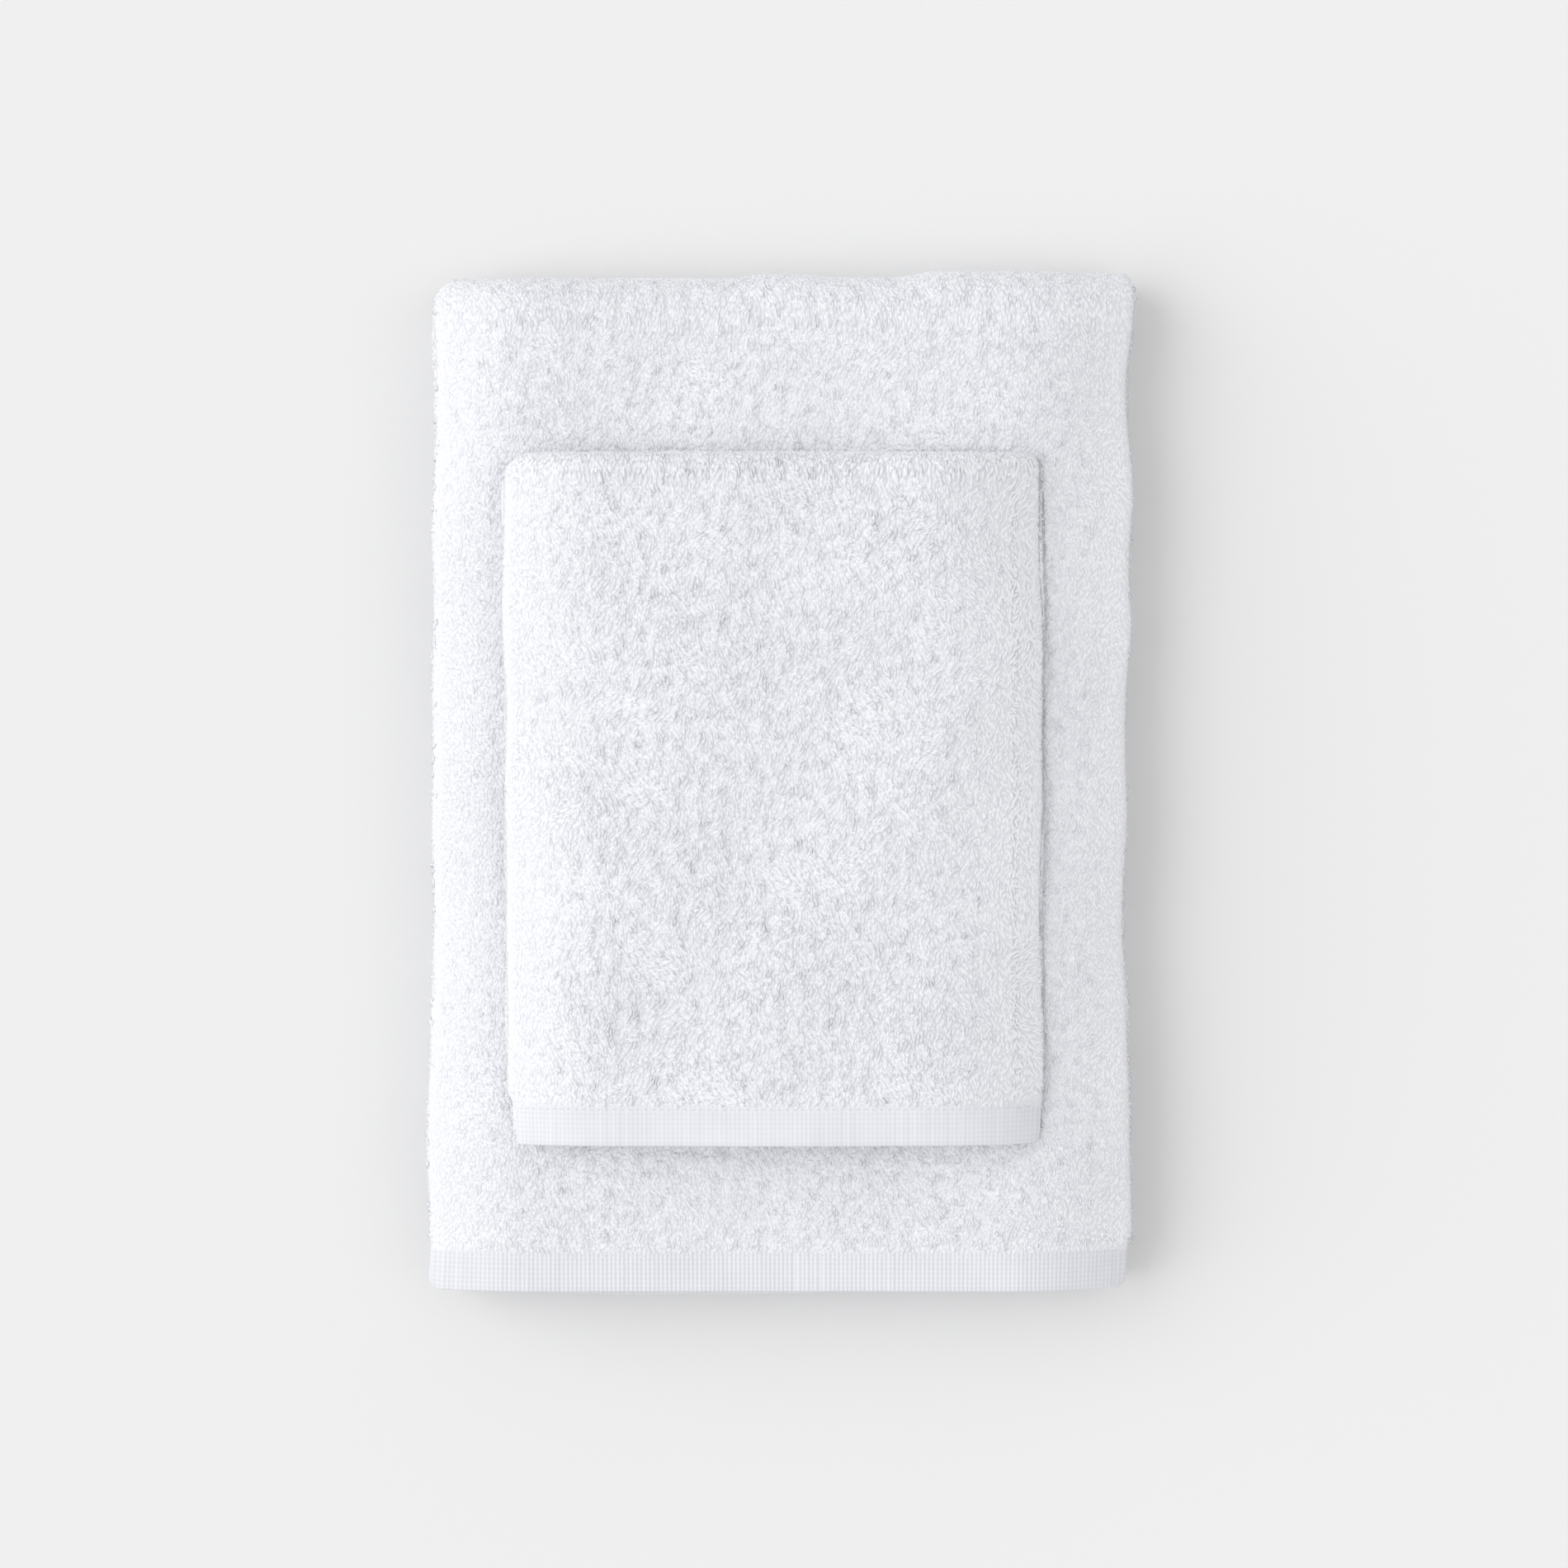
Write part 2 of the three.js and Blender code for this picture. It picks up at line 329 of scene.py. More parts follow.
def spaced(joints, low, high, step):
    """Distances from low to high, about step apart on straight runs. A turn is every second run between the
    joints and takes TURN_STEP, or TURN_LEAST steps if that is more."""
    stops = np.unique(np.clip(joints, low, high))
    out = []
    for a, b in zip(stops[:-1], stops[1:]):
        turns = int(np.searchsorted(joints, (a + b) / 2)) % 2 == 0
        count = max(TURN_LEAST, math.ceil((b - a) / TURN_STEP)) if turns else math.ceil((b - a) / step)
        out.append(np.linspace(a, b, count, endpoint=False))
    return np.concatenate(out + [[high]])


def edged(thickness, low, high):
    """A height off the weave that is rounded off within LIP of v = low and v = high: thickness times the
    root of 1 less the square of how far into the lip the point is."""

    def height(u, v):
        inside = np.minimum(v - low, high - v)
        into = np.clip(1 - inside / LIP, 0, 1)
        return thickness * np.sqrt(np.maximum(1 - into**2, LIP_LEAST))

    return height


# How the bath towel is folded, from its panels
panel_low, panel_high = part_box("bath_top_panel")
bath_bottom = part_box("bath_bottom_panel")[0][2]
bath_strip = panel_high[2] - panel_low[2]
bath_ply = (bath_strip - 2 * GAP) / 3
bath_half = panel_high[0]
bath_top = panel_high[2]
bath_left_turn = (bath_strip - bath_ply) / 2
bath_right_turn = (bath_ply + GAP) / 2
bath_left_x = -bath_half + bath_strip / 2
bath_right_x = bath_half - bath_ply - GAP / 2
bath_inner_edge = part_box("bath_top_inner_side_hem")[0][0]
bath_outer_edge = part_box("bath_top_outer_side_hem")[1][0]
bath_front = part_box("bath_top_hem")[0][1]
bath_rear_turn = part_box("bath_outer_rear_fold")[0][1]
bath_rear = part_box("bath_outer_rear_fold")[1][1]
bath_front_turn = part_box("bath_front_fold")[1][1]
bath_second_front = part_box("bath_second_hem")[0][1]
bath_big_turn = (panel_low[2] - bath_bottom) / 2
bath_small_turn = (bath_strip + GAP) / 2

bath_section = bent_line(
    (bath_inner_edge, 0),
    0,
    [
        (bath_right_x - bath_inner_edge, 0),
        (math.pi * bath_right_turn, math.pi),
        (bath_right_x - bath_left_x, 0),
        (math.pi * bath_left_turn, math.pi),
        (bath_outer_edge - bath_left_x, 0),
    ],
)
bath_course = bent_line(
    (bath_front, bath_top - bath_strip / 2),
    0,
    [
        (bath_rear_turn - bath_front, 0),
        (math.pi * bath_big_turn, -math.pi),
        (bath_rear_turn - bath_front_turn, 0),
        (math.pi * bath_small_turn, -math.pi),
        (bath_rear_turn - bath_front_turn, 0),
        (math.pi * bath_small_turn, math.pi),
        (bath_rear_turn - bath_second_front, 0),
    ],
)

SETTLED = 0.0002  # the least height of anything above the floor
BATH_CROWN = 0.02
BATH_SHOULDERS = (0.23, 0.036), (0.40, 0.046)  # left, right: how far each drops, and over what width
BATH_FRONT_DROP = 0.11
FRONT_DROP_LENGTH = 0.055
EDGE_WANDER = 0.0009
SURFACE_WANDER = 0.0007
BATH_CORNERS = (-1, 1, 0.010), (1, 1, 0.0030), (-1, -1, 0.0045), (1, -1, 0.0035)
# How far out of true the two sides lie, from the hems (first) to the rear
BATH_ALONG = np.array(
    [-0.184, -0.169, -0.165, -0.113, -0.070, -0.054, 0.042, 0.060, 0.077, 0.125, 0.149, 0.172]
)
BATH_LEFT_OUT = np.array([2.3, 2.3, 3.0, 3.2, 1.5, 1.4, 1.3, 0.9, 0.5, 1.2, 1.0, 2.6]) / 1000
BATH_RIGHT_OUT = np.array([-2.2, -2.0, 0.2, -0.6, -1.6, -2.2, -2.1, 0.5, 0.2, -0.7, -0.2, 2.3]) / 1000
SIDE_POWER = 6  # how quickly that grows towards the sides, from nothing in the middle
SQUARER = 0.7  # how far the rear folds are pressed square, where 0 would leave them half circles
# How far the second hem slides out beyond the first, where, over what width and over what length of cloth
SECOND_PEEK = 0.0016
PEEK_X = -0.035
PEEK_HALF = 0.055
PEEK_LENGTH = 0.05
# How far the rear folds lie out of true, from left to right
BATH_ACROSS = np.array([-0.127, -0.020, -0.006, 0.008, 0.018, 0.042, 0.054, 0.127])
BATH_REAR_OUT = np.array([0.4, 0.4, 2.0, 1.6, 0.6, 0.6, 2.8, 2.8]) / 1000
BATH_REAR_LENGTH = 0.08
bath_edge_ripple = ripples(11, 0.05, 0.16)
bath_top_ripple = ripples(12, 0.05, 0.18)


def rounded(x, y, left, right, front, rear, corners):
    """Outline corners rounded off. In the square of side radius at a corner, with a and b its two distances
    in over the radius, a becomes a times the root of 1 less half b squared, and b likewise, which turns
    the square into a quarter of a disc."""
    for x_sign, y_sign, radius in corners:
        corner_x = right if x_sign > 0 else -left
        corner_y = rear if y_sign > 0 else -front
        a = np.clip((x_sign * x - corner_x) / radius + 1, 0, 1)
        b = np.clip((y_sign * y - corner_y) / radius + 1, 0, 1)
        x = x - x_sign * radius * a * (1 - np.sqrt(1 - b * b / 2))
        y = y - y_sign * radius * b * (1 - np.sqrt(1 - a * a / 2))
    return x, y


def shoulder_drop(x, middle, half, shoulders):
    """Each shoulder's drop times the square of how far into its width x is, to the side of the middle."""
    (left_drop, left_width), (right_drop, right_width) = shoulders
    left = np.clip((middle - half - x) / left_width + 1, 0, 1.1)
    right = np.clip((x - middle - half) / right_width + 1, 0, 1.1)
    return left_drop * left**2 + right_drop * right**2


def squared(y, turn, rear):
    """Rear folds pressed squarer: within them y moves out by SQUARER times t less t squared of their depth,
    where t is how far into the fold y is."""
    t = np.clip((y - turn) / (rear - turn), 0, 1)
    return y + SQUARER * (rear - turn) * t * (1 - t)


def bath_height_share(x, y):
    """How much of its full height the stack keeps: 1 and a low crown in the middle, less a rounded
    shoulder near each side and a drop towards the hems, which are thinner than the pile."""
    crown = BATH_CROWN * (1 - np.clip(np.abs(x) / bath_half, 0, 1) ** 2)
    drop = BATH_FRONT_DROP * np.clip((bath_front - y) / FRONT_DROP_LENGTH + 1, 0, 1) ** 2
    return 1 + crown - shoulder_drop(x, 0, bath_half, BATH_SHOULDERS) - drop


def bath_settle(x, y, z, v):
    """The stack at rest: the sides lie out of true as listed and wander a little from layer to layer, the
    corners are rounded, and heights are scaled by bath_height_share."""
    out = np.clip(np.abs(x) / bath_half, 0, 1.1)
    sides = [np.interp(y, BATH_ALONG, side) for side in (BATH_RIGHT_OUT, BATH_LEFT_OUT)]
    side = np.where(x > 0, *sides)
    wander = EDGE_WANDER * bath_edge_ripple(v, np.where(x > 0, 1.0, 0.0))
    near = np.exp(-(((x - PEEK_X) / PEEK_HALF) ** 4))
    peek = SECOND_PEEK * ramp(v, bath_end - PEEK_LENGTH, bath_end) * near
    swell = SURFACE_WANDER * bath_top_ripple(x, y) * np.clip(z / bath_top, 0, 1)
    z = z * bath_height_share(x, y) + swell
    y = squared(y, bath_rear_turn, bath_rear)
    y = y + np.interp(x, BATH_ACROSS, BATH_REAR_OUT) * ramp(y, bath_rear - BATH_REAR_LENGTH, bath_rear)
    x, y = rounded(x, y - peek, -bath_half, bath_half, bath_front, bath_rear, BATH_CORNERS)
    return x + np.sign(x) * (side + wander) * out**SIDE_POWER, y, np.maximum(z, SETTLED)


bath_end = bath_course[1][-1]
bath = Towel(bath_section, bath_course, -1, bath_settle)
bath_length = bath.v_joints[-1]
bath_seam = bath.v_joints[1]  # where the top layer meets its rear fold

TERRY_LIGHT = (0.872, 0.878, 0.915)
# the ground's painted shade between its cells, also used for its random mottle
TERRY_SHADE_AND_MOTTLE = (0.830, 0.837, 0.876)
FEET = 850.0  # cells to a metre


def terry_weave_finish():
    """Cotton ground weave with the feet of the loops on it: cells a millimetre across, pale on top and a
    little darker between them as painted shade where the bump dips, mottled slowly over the cloth."""
    finish = Finish("terry_weave")
    cells = {"Vector": finish.place(), "Scale": FEET}
    feet = finish.node("ShaderNodeTexVoronoi", None, cells, "Distance")
    patches = finish.noise(28.0)
    fuzz = finish.noise(2400.0, 3.0)
    # painted shade in the dips between the cells, plus random patches
    finish.set(Base_Color=finish.blend_colours(feet * 0.7 + patches * 0.4, TERRY_LIGHT, TERRY_SHADE_AND_MOTTLE))
    finish.set(Roughness=0.86 + fuzz * 0.12, Sheen_Weight=0.15, Sheen_Roughness=0.5)
    finish.set(Specular_IOR_Level=0.2)
    finish.set(Normal=finish.bump(1.0 - feet + fuzz * 0.25, 0.0006, 0.8))
    return finish.material


terry_weave = terry_weave_finish()


def make_cloth(name, towel, v_low, v_high):
    """The ground of the terry between two lengths, all its folded plies in one closed mesh."""
    us = spaced(towel.u_joints, SIDE_HEM, towel.u_joints[-1] - SIDE_HEM, SHOULDER_STEP)
    vs = spaced(towel.v_joints, v_low, v_high, FLAT_STEP)
    high = lambda u, v: WEAVE_HALF + 0 * u
    low = lambda u, v: -WEAVE_HALF + 0 * u
    cloth = slab(name, towel, us, vs, low, high, terry_weave)
    cloth.data.set_sharp_from_angle(angle=math.radians(CLOTH_SHARP))
    return cloth


HEM_UNDER = 0.0125  # the terry begins this far in, under the end hem
bath_top_cloth = make_cloth("bath_top_cloth", bath, HEM_UNDER, bath_seam)
bath_cloth = make_cloth("bath_cloth", bath, bath_seam, bath_length - HEM_UNDER)


def bend_open(piece):
    """Cloth of a top layer: its placing is baked into its mesh, where it stays."""
    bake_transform(piece)


def bath_bend(piece):
    bend_open(piece)


bath_bend(bath_top_cloth)
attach(bath_cloth, "bath_towel")
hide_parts("bath_top_panel")
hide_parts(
    "bath_second_panel",
    "bath_third_panel",
    "bath_bottom_panel",
    "bath_outer_rear_fold",
    "bath_inner_rear_fold",
    "bath_front_fold",
)

# ---------------------------------------------------------------- Bath towel's pile
# Soft cotton loops, woven into the ground on both faces and laid over in swirls by washing. Each loop is a
# short arched strand with both its feet in the weave.
LOOP_LIGHT = (0.955, 0.962, 0.998)
# the yarn's painted shade between the loops, also used for its random mottle
LOOP_SHADE_AND_MOTTLE = (0.66, 0.668, 0.705)

# Where a strand's rings are along it, and its share of the full height there
LOOP_RINGS = np.array([0.15, 0.5, 0.85]), np.array([0.62, 1.0, 0.62])
PLAIN_RINGS = np.array([0.26, 0.74]), np.array([0.9, 0.9])
LOOP_SIDES = 3


def strands(name, towel, u, v, ground, lean, long, wide, crest, tilt, root, bend, rings, finish):
    """Arched strands on the flat cloth, then folded with it. A strand is a ridge with straight flanks: its
    crest stands above the ground, more at one end than the other by tilt, and is wide from its middle to
    where each flank meets the ground. The flanks run on down to root, out of sight, with the same slope,
    and both ends close to a point there. It bows sideways by bend times sin(2 pi t) down its length t.
    lean is its heading, and ground the height of the weave's face. A point attribute is 0 at the crest
    and 1 where the flanks meet the ground, and the loops' finish darkens the yarn by it as painted shade
    between the loops."""
    stations, arch = rings
    count = len(u)
    column = lambda values: np.broadcast_to(values, (count,))[:, None, None]
    station = stations[None, :, None]
    height = column(crest) * arch[None, :, None] * (1 + column(tilt) * (2 * station - 1))
    corner_side = np.array([0.0, -1.0, 1.0])  # the crest, then the left and the right foot
    corner_low = np.array([0.0, 1.0, 1.0])
    spread = column(wide) * (height + column(root)) / column(crest)
    along = column(long) * (station - 0.5) + 0 * corner_side
    aside = column(bend) * np.sin(2 * math.pi * station) + spread * corner_side
    above = column(ground) + height * (1 - corner_low) - column(root) * corner_low
    shade_depth = 1 - (above - column(ground)) / column(crest)
    along, aside, above, shade_depth = (part.reshape(count, -1) for part in (along, aside, above, shade_depth))
    half = np.broadcast_to(np.asarray(long, float), (count,))[:, None] / 2
    buried = np.broadcast_to(np.asarray(ground - root, float), (count,))[:, None]
    along = np.concatenate([-half, along, half], axis=1)
    aside = np.concatenate([0 * half, aside, 0 * half], axis=1)
    above = np.concatenate([buried, above, buried], axis=1)
    shade_depth = np.concatenate([shade_depth[:, -1:], shade_depth, shade_depth[:, -1:]], axis=1)
    cos, sin = np.cos(lean)[:, None], np.sin(lean)[:, None]
    points = towel.fold(
        u[:, None] + along * cos - aside * sin, v[:, None] + along * sin + aside * cos, above
    )
    side = np.arange(LOOP_SIDES)
    after = (side + 1) % LOOP_SIDES
    ring = lambda k, which: 1 + k * LOOP_SIDES + which
    last = len(stations) - 1
    pole = 1 + (last + 1) * LOOP_SIDES
    wall = lambda k: np.stack([ring(k, side), ring(k, after), ring(k + 1, after), ring(k + 1, side)], 1)
    walls = np.concatenate([wall(k) for k in range(last)])
    caps = np.concatenate(
        [
            np.stack([0 * side, ring(0, after), ring(0, side)], 1),
            np.stack([0 * side + pole, ring(last, side), ring(last, after)], 1),
        ]
    )
    start = (np.arange(count) * (pole + 1))[:, None, None]
    faces = [towel.facing((start + part[None]).reshape(-1, part.shape[1])) for part in (walls, caps)]
    piece = make_piece(name, points.reshape(-1, 3), faces, finish)
    # depth below the crest, which the loops' finish turns into painted shade between the loops
    depth = piece.data.attributes.new("shade_depth", "FLOAT", "POINT")
    depth.data.foreach_set("value", shade_depth.astype(np.float32).ravel())
    return piece


def terry_loop_finish():
    """Soft cotton yarn: near white on the crests of the loops, with painted shade darkening it between them,
    mottled slowly over the towel and a little from loop to loop, with the nap of its fibres in the bump."""
    finish = Finish("terry_loops")
    shade_depth = finish.node("ShaderNodeAttribute", {"attribute_name": "shade_depth"}, output="Fac")
    patches = finish.noise(24.0)
    each = finish.noise(620.0, 1.0)
    nap = finish.noise(3200.0, 3.0)
    # painted shade from the depth below the crest, plus random mottle over the towel and from loop to loop
    share = shade_depth.least(1.0) * 0.75 + patches * 0.3 + each * 0.35 - 0.47
    finish.set(Base_Color=finish.blend_colours(share, LOOP_LIGHT, LOOP_SHADE_AND_MOTTLE))
    finish.set(Roughness=0.82 + nap * 0.15, Sheen_Weight=0.15, Sheen_Roughness=0.45)
    finish.set(Specular_IOR_Level=0.22)
    finish.set(Normal=finish.bump(nap, 0.00012, 0.5))
    return finish.material


terry_loops = terry_loop_finish()

ROOT = 0.0007  # how far a loop's flanks run on below the weave's face
CELL_SHAPE = 2.5  # how many times as long as wide a loop's place is
JITTER = 0.4  # how far it may move within it, in shares of it
CALM_LEFT = 0.55, 0.036  # share of height left, and over what width
CALM_RIGHT = 0.5, 0.012
SMALL_SWIRL = 0.55  # the small swirls' share of the broad ones
LEAN_SPREAD = 0.33  # how much headings differ from loop to loop
SIZES = 0.65, 1.35  # shares of the common length
WIDTHS = 0.8, 1.2
CLUMPED = 0.25  # how much higher a clump stands
CREST_SPREAD = 0.24
TILT_SPREAD = 0.35
BEND_SPREAD = 0.11
FUZZ_CREST = 0.0012
FUZZ_HEIGHTS = 0.6, 1.2
FUZZ_WIDE = 0.00034


class Pile:
    """One towel's way of growing loops: their size, and the swirls that they are laid over in."""

    def __init__(self, towel, seed, face, long, wide, crest, swirl, fuzz):
        self.towel = towel
        self.left, self.right = face
        self.seed = seed
        self.long, self.wide, self.crest = long, wide, crest
        self.swirl = swirl
        self.fuzz = fuzz
        self.broad = ripples(seed, 0.022, 0.06)
        self.small = ripples(seed + 1, 0.009, 0.02)
        self.clump = ripples(seed + 2, 0.005, 0.011)

    def places(self, zones, random):
        """One point in each cell of a grid over each zone of the flat cloth, moved at random within it. Cells
        are CELL_SHAPE times as long as wide and every second row is half a cell on, like laid bricks. A zone
        is its u range, its v range and its loops to a square centimetre."""
        found = []
        for (u_low, u_high), (v_low, v_high), per_cm2 in zones:
            wide = 0.01 / math.sqrt(per_cm2 * CELL_SHAPE)
            rows = max(1, round((u_high - u_low) / wide))
            columns = max(1, round((v_high - v_low) / (wide * CELL_SHAPE)))
            u, v = np.meshgrid(np.arange(rows) + 0.5, np.arange(columns) + 0.25, indexing="ij")
            v = v + 0.5 * (np.arange(rows) % 2)[:, None]
            u = u + random.uniform(-JITTER, JITTER, u.shape)
            v = v + random.uniform(-JITTER, JITTER, v.shape)
            cell_u, cell_v = (u_high - u_low) / rows, (v_high - v_low) / columns
            found.append(np.stack([(u_low + u * cell_u).ravel(), (v_low + v * cell_v).ravel()], axis=1))
        return np.concatenate(found).T

    def calm(self, u):
        """The share of their height that loops keep: all of it on the face, falling smoothly to CALM_LEFT and
        CALM_RIGHT at its two side folds, where folding has pressed them flat."""
        way = math.copysign(1.0, self.right - self.left)
        from_left, from_right = way * (u - self.left), way * (self.right - u)
        share = 1.0
        for inside, (least, width) in ((from_left, CALM_LEFT), (from_right, CALM_RIGHT)):
            share = share * (least + (1 - least) * ramp(inside, 0, width))
        return share

    def upright(self, u, v):
        """How upright the cloth stands at the outline: the larger sine of its two turns, to the sixth."""
        turned, heading = self.towel.section(u)[2], self.towel.course(v)[2]
        return np.maximum(np.abs(np.sin(turned)), np.abs(np.sin(heading))) ** 6

    def grow(self, name, zones, rings=LOOP_RINGS, thin=None, stretch=1.0):
        """Loops over zones of the flat cloth. thin(u, v) is the share of loops that are kept there, and
        stretch is how much longer a loop will be once it is folded over a turn. Where the cloth stands
        upright the pile's fuzz is the share of loops that stick out beyond the rest."""
        random = np.random.default_rng(self.seed * 1000 + sum(map(ord, name)))
        u, v = self.places(zones, random)
        if thin is not None:
            kept = random.uniform(0, 1, len(u)) < thin(u, v)
            u, v = u[kept], v[kept]
        count = len(u)
        lean = math.pi / 2 + self.swirl * (self.broad(u, v) + SMALL_SWIRL * self.small(u, v))
        lean = lean + random.normal(0, LEAN_SPREAD, count)
        size = random.uniform(*SIZES, count)
        uneven = 1 + CLUMPED * self.clump(u, v)
        crest = self.crest * self.calm(u) * uneven * random.lognormal(0, CREST_SPREAD, count)
        proud = random.uniform(0, 1, count) < self.fuzz * self.upright(u, v)
        crest = np.where(proud, FUZZ_CREST * random.uniform(*FUZZ_HEIGHTS, count), crest)
        wide = np.where(proud, FUZZ_WIDE, self.wide * random.uniform(*WIDTHS, count))
        tilt = random.normal(0, TILT_SPREAD, count)
        root = np.where(proud, ROOT / 3, ROOT)
        bend = self.long * random.normal(0, BEND_SPREAD, count)
        long = self.long * size / stretch
        laid = (lean, long, wide, crest, tilt, root, bend)
        return strands(name, self.towel, u, v, WEAVE_HALF, *laid, rings, terry_loops)


_, right_0, right_1, left_0, left_1, bath_u_end = bath.u_joints
bath_pile = Pile(bath, 21, (left_0, right_1), long=0.0032, wide=0.00048, crest=0.00064, swirl=0.42, fuzz=0.16)
BATH_SEEN = 48  # loops to a square centimetre where the towel shows
BATH_COVERED = 0.15  # share of them kept where the hand towel lies
PLY_BACK = 10  # on the faces that are folded together
UNDERSIDE = 6  # under the whole towel
COVER_MARGIN = 0.008  # the hand towel covers nothing this near its outline

# How much denser the pile is on the face, the right side and the left side. A turn stretches the flat cloth's
# outer face, so it has more loops there, and they are that much shorter.
TOP_DENSER = 1, 1.5, 1.2
REAR_STRETCH = 1.3
REAR_DENSER = REAR_STRETCH, 1.8, 1.5
FRONT_STRETCH = 1.5
FRONT_DENSER = 1.4, 1.5, 1.3
LOWER_DENSER = 1.4, 1.1  # right, left

right_side = (right_0, right_1)
left_side = (left_0, left_1)
bath_face = (right_1, left_0)
bath_back = (left_1, bath_u_end - SIDE_HEM)
BATH_HEM = 0.0150  # how long both towels' end hems are
_, v_rear_0, v_rear_1, v_front_0, v_front_1, v_inner_0, v_inner_1, v_end = bath.v_joints

hand_low, hand_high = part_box("hand_top_panel")
hand_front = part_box("hand_top_hem")[0][1]
hand_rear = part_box("hand_rear_fold")[1][1]


def bath_shows(u, v):
    """BATH_COVERED well inside the hand towel's outline, 1 outside it."""
    x, _, _ = bath.section(u)
    y, _, _ = bath.course(v)
    inside_x = (x > hand_low[0] + COVER_MARGIN) & (x < hand_high[0] - COVER_MARGIN)
    inside_y = (y > hand_front + COVER_MARGIN) & (y < hand_rear - COVER_MARGIN)
    return np.where(inside_x & inside_y, BATH_COVERED, 1.0)


def zones_of(parts, lengths, seen, denser):
    """One zone for each part of the width over each length of the cloth, with seen loops to a square
    centimetre times how much denser the part is."""
    return [(part, length, seen * more) for length in lengths for part, more in zip(parts, denser)]


bath_parts = (bath_face, right_side, left_side)
bath_thirds = np.linspace(BATH_HEM, bath_seam, 4)
bath_top_pile = []
for number, length in enumerate(zip(bath_thirds[:-1], bath_thirds[1:])):
    zones = zones_of(bath_parts, [length], BATH_SEEN, TOP_DENSER)
    bath_top_pile.append(bath_pile.grow(f"bath_top_pile_{number + 1}", zones, thin=bath_shows))
bath_top_pile.append(
    bath_pile.grow("bath_top_pile_back", [(bath_back, (BATH_HEM, bath_seam), PLY_BACK)], PLAIN_RINGS)
)
for piece in bath_top_pile:
    bath_bend(piece)

bath_rear_zones = zones_of(bath_parts, [(v_rear_0, v_rear_1)], BATH_SEEN, REAR_DENSER)
bath_rear_pile = bath_pile.grow("bath_rear_pile", bath_rear_zones, stretch=REAR_STRETCH)
bath_front_zones = zones_of(bath_parts, [(v_front_0, v_front_1)], BATH_SEEN, FRONT_DENSER)
bath_front_pile = bath_pile.grow("bath_front_pile", bath_front_zones, stretch=FRONT_STRETCH)
lower_layers = [(v_rear_1, v_front_0), (v_front_1, v_inner_0), (v_inner_1, v_end - BATH_HEM)]
bath_side_zones = zones_of((right_side, left_side), lower_layers, BATH_SEEN, LOWER_DENSER)
bath_side_pile = bath_pile.grow("bath_side_pile", bath_side_zones)
bath_second_pile = bath_pile.grow(
    "bath_second_pile", [(bath_back, (v_inner_1, v_end - BATH_HEM), PLY_BACK)], PLAIN_RINGS
)
bath_under_pile = bath_pile.grow(
    "bath_under_pile", [(bath_face, (v_rear_1, v_front_0), UNDERSIDE)], PLAIN_RINGS
)
bath_lower_pile = [bath_rear_pile, bath_front_pile, bath_side_pile, bath_second_pile, bath_under_pile]
for piece in bath_lower_pile:
    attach(piece, "bath_towel")

# ---------------------------------------------------------------- Bath towel's hems
# At each end of the cloth a flat-woven band is turned under twice and sewn down. Its warp stands up in fine
# ribs, and each rib is a chain of small beads where the weft crosses it.
RIB_PITCH = 0.00155
RIB_HIGH = 0.00013
RIB_STEPS = 4
RIB_FADE = 0.004  # over which the modelled ribs begin and end
PICK_PITCH = 0.00174
WEAVE_RELIEF = 0.00026
HEM_HALF = 0.00118
HEM_LIGHT = (0.860, 0.868, 0.914)
# the weave's painted shade in its grooves, also used for its random tone and the thread's
HEM_SHADE_AND_MOTTLE = (0.660, 0.667, 0.708)
HEM_COARSE = 0.004
LIP_POINTS = 5
CREASES = (0.0039, 0.0131)  # where the top hem was pressed, from the middle
CREASE_DEEP = 0.00022
CREASE_WIDE = 0.0005


def hem_weave_finish(name, rib_pitch, pick_pitch, relief):
    """A ribbed weave by the cloth's own map: one sine across the ribs, and one along them for the picks that
    cross them, with painted shade in the grooves between them, in step with the bump. Every few ribs are
    a little lighter or darker."""
    finish = Finish(name)
    cloth = finish.node("ShaderNodeUVMap", {"uv_map": "cloth"})
    across = finish.node("ShaderNodeSeparateXYZ", None, {"Vector": cloth})
    along = Socket(finish, across.output.node.outputs["Y"])
    wave = lambda value: finish.node("ShaderNodeMath", {"operation": "SINE"}, {0: value})
    turn = 2 * math.pi
    rib = 0.5 + 0.5 * wave(across * (turn / rib_pitch))
    pick = 0.5 + 0.5 * wave(along * (turn / pick_pitch))
    line = finish.node("ShaderNodeCombineXYZ", None, {"X": across * 1.0})
    uneven = finish.noise(420.0, 2.0, line)
    fuzz = finish.noise(1800.0, 3.0)
    patches = finish.noise(60.0)
    # painted shade in the grooves between ribs and picks, plus random tone from rib to rib and in patches
    share = 0.15 - rib * 0.3 - pick * 0.16 + uneven * 0.7 + patches * 0.4
    finish.set(Base_Color=finish.blend_colours(share, HEM_LIGHT, HEM_SHADE_AND_MOTTLE))
    finish.set(Roughness=0.74 + fuzz * 0.16, Sheen_Weight=0.15, Sheen_Roughness=0.5)
    finish.set(Specular_IOR_Level=0.25)
    finish.set(Normal=finish.bump(rib * 0.5 + pick * 0.6 + fuzz * 0.3, relief, 0.8))
    return finish.material


hem_weave = hem_weave_finish("hem_weave", RIB_PITCH, PICK_PITCH, WEAVE_RELIEF)


